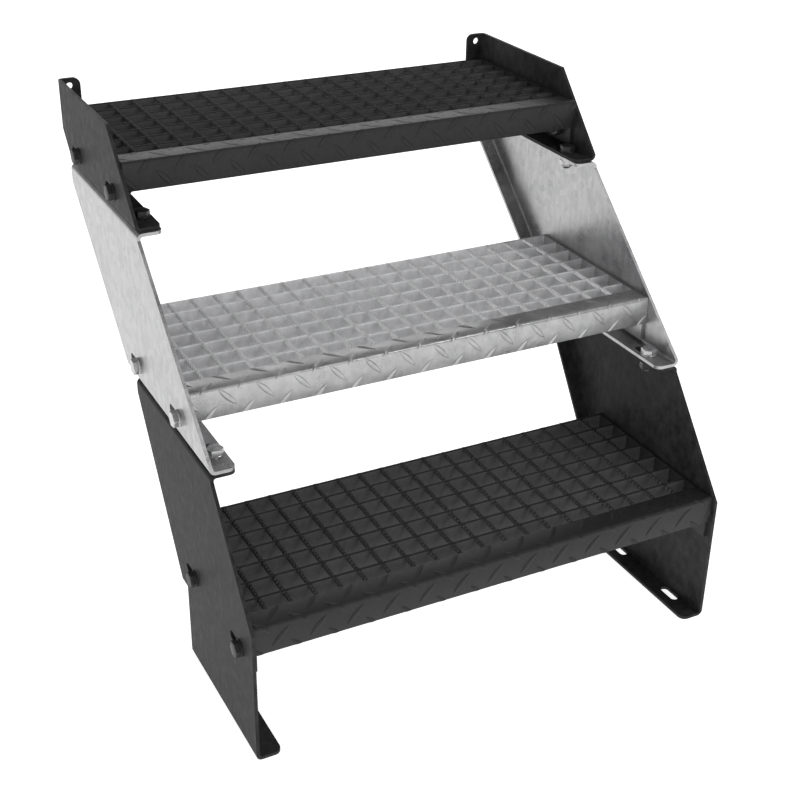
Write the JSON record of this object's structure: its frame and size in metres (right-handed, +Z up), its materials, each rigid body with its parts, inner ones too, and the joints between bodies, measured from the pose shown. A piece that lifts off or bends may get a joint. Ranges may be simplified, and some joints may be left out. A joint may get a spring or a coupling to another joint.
{
  "type": "modular step unit",
  "caption": "Modular steel steps used as a mounting block: folded-plate cheek modules bolted on each other, with slotted grating treads between them and tabs for a wall.",
  "frame": {"origin": "on the floor, at the centre of the base area of the whole unit's box", "axes": "+Z up; -Y is the front that a person walks up from; +Y is the wall side; +X to the right of somebody facing the wall"},
  "size_m": [0.627, 0.608, 0.608],
  "materials": {
    "black_steel": "satin black coat over hot-dip zinc, faintly mottled",
    "galvanised_steel": "hot-dip galvanised, pale grey, cloudy spangle",
    "black_fasteners": "black oxide hexagon bolts",
    "zinc_fasteners": "zinc-plated hexagon bolts"
  },
  "bodies": {
    "bottom_frame": {"bottom_cheek_left": "black_steel", "bottom_cheek_right": "black_steel", "lower_flange_bolts": "zinc_fasteners", "lower_flange_washers": "zinc_fasteners", "lower_flange_nuts": "black_fasteners"},
    "middle_frame": {"middle_cheek_left": "galvanised_steel", "middle_cheek_right": "galvanised_steel", "upper_flange_bolts": "black_fasteners", "upper_flange_washers": "black_fasteners", "upper_flange_nuts": "zinc_fasteners"},
    "top_frame": {"top_cheek_left": "black_steel", "top_cheek_right": "black_steel"},
    "bottom_tread": {"bottom_tread_nosing": "black_steel", "bottom_tread_bearing_bars": "black_steel", "bottom_tread_cross_rods": "black_steel", "bottom_tread_end_plate_left": "black_steel", "bottom_tread_end_plate_right": "black_steel", "bottom_tread_bolts": "black_fasteners", "bottom_tread_washers": "black_fasteners", "bottom_tread_nuts": "black_fasteners"},
    "middle_tread": {"middle_tread_nosing": "galvanised_steel", "middle_tread_bearing_bars": "galvanised_steel", "middle_tread_cross_rods": "galvanised_steel", "middle_tread_end_plate_left": "galvanised_steel", "middle_tread_end_plate_right": "galvanised_steel", "middle_tread_bolts": "zinc_fasteners", "middle_tread_washers": "zinc_fasteners", "middle_tread_nuts": "zinc_fasteners"},
    "top_tread": {"top_tread_nosing": "black_steel", "top_tread_bearing_bars": "black_steel", "top_tread_cross_rods": "black_steel", "top_tread_end_plate_left": "black_steel", "top_tread_end_plate_right": "black_steel", "top_tread_bolts": "black_fasteners", "top_tread_washers": "black_fasteners", "top_tread_nuts": "black_fasteners"}
  },
  "joints": [
    {"name": "bottom_tread_adjust", "type": "slide", "parent": "bottom_frame", "child": "bottom_tread", "axis": [0, -1, 0], "range_m": [-0.015, 0]},
    {"name": "middle_module_adjust", "type": "slide", "parent": "bottom_frame", "child": "middle_frame", "axis": [0, -1, 0], "range_m": [-0.005, 0.019]},
    {"name": "middle_tread_adjust", "type": "slide", "parent": "middle_frame", "child": "middle_tread", "axis": [0, -1, 0], "range_m": [-0.015, 0]},
    {"name": "top_module_adjust", "type": "slide", "parent": "middle_frame", "child": "top_frame", "axis": [0, -1, 0], "range_m": [-0.005, 0.015]},
    {"name": "top_tread_adjust", "type": "slide", "parent": "top_frame", "child": "top_tread", "axis": [0, -1, 0], "range_m": [-0.002, 0]}
  ]
}
